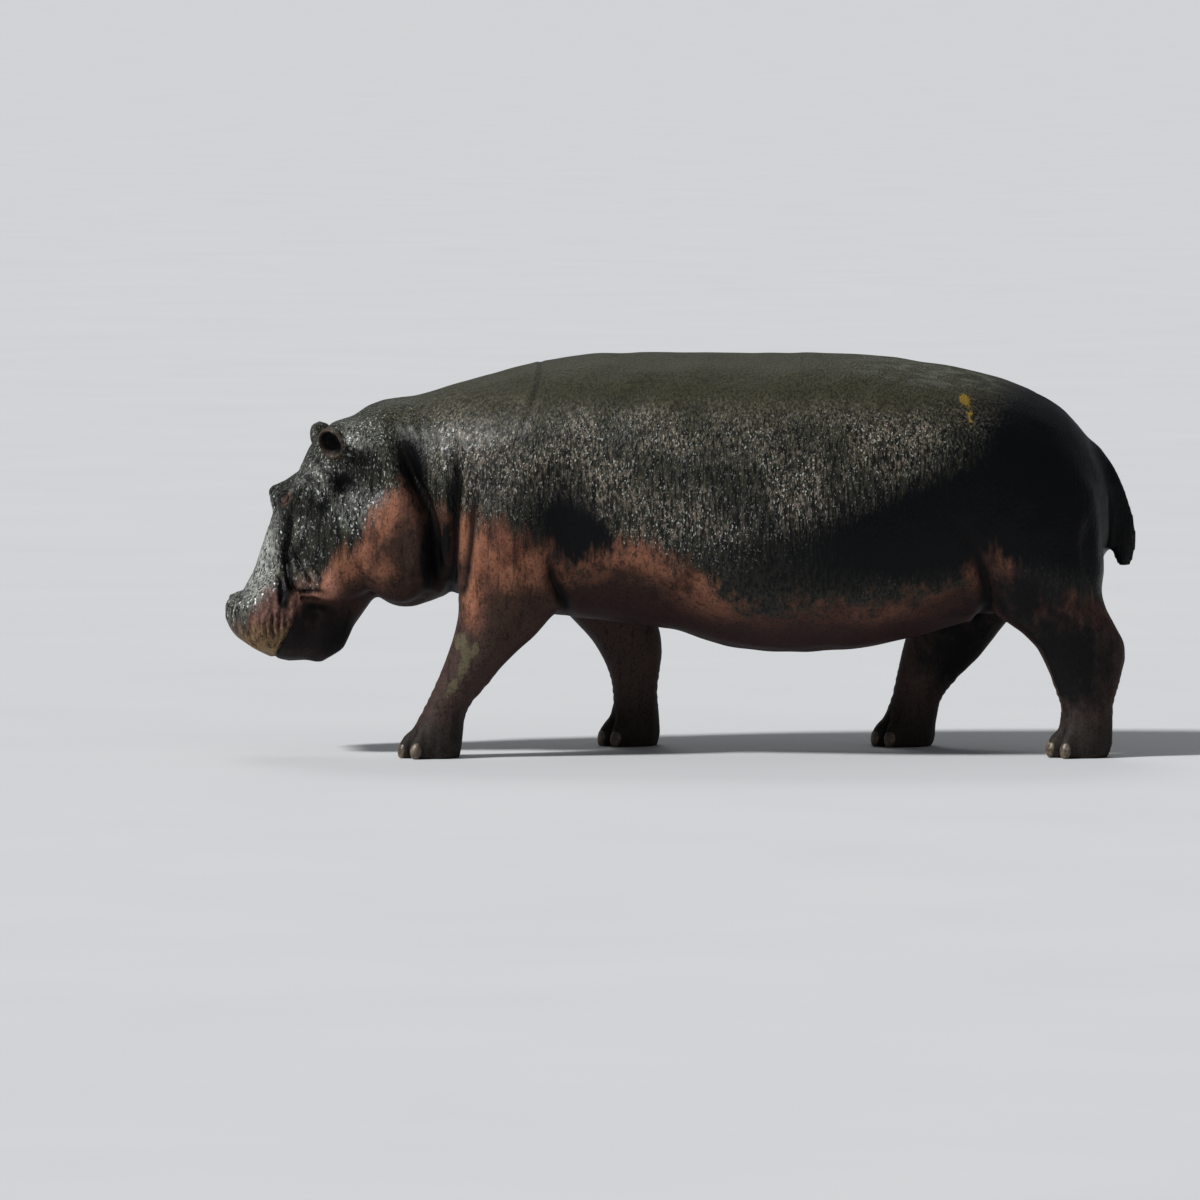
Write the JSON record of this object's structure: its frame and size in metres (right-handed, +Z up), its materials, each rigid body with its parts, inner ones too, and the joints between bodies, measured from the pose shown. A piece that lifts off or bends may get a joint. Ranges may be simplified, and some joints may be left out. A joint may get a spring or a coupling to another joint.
{
  "type": "hippopotamus museum model",
  "caption": "Life-size adult hippopotamus striding with its head lowered, a still museum-style model that stands on its own four feet.",
  "frame": {"origin": "middle of the bounding box, on the floor under the soles", "axes": "the animal faces -X, its left side is towards -Y, +Z is up"},
  "size_m": [3.6074, 1.1796, 1.5819],
  "materials": {
    "hide": "wet dark olive above, chestnut below",
    "toenail": "worn horn",
    "eye": "wet, dark brown"
  },
  "bodies": {
    "root": {"ear_left": "hide", "ear_right": "hide", "eye_left": "eye", "eye_right": "eye", "foot_front_left": "hide", "foot_front_right": "hide", "foot_hind_left": "hide", "foot_hind_right": "hide", "head": "hide", "leg_front_left": "hide", "leg_front_right": "hide", "leg_hind_left": "hide", "leg_hind_right": "hide", "nail_front_left_1": "toenail", "nail_front_left_2": "toenail", "nail_front_left_3": "toenail", "nail_front_left_4": "toenail", "nail_front_right_1": "toenail", "nail_front_right_2": "toenail", "nail_front_right_3": "toenail", "nail_front_right_4": "toenail", "nail_hind_left_1": "toenail", "nail_hind_left_2": "toenail", "nail_hind_left_3": "toenail", "nail_hind_left_4": "toenail", "nail_hind_right_1": "toenail", "nail_hind_right_2": "toenail", "nail_hind_right_3": "toenail", "nail_hind_right_4": "toenail", "neck": "hide", "tail": "hide", "trunk": "hide"}
  },
  "joints": []
}
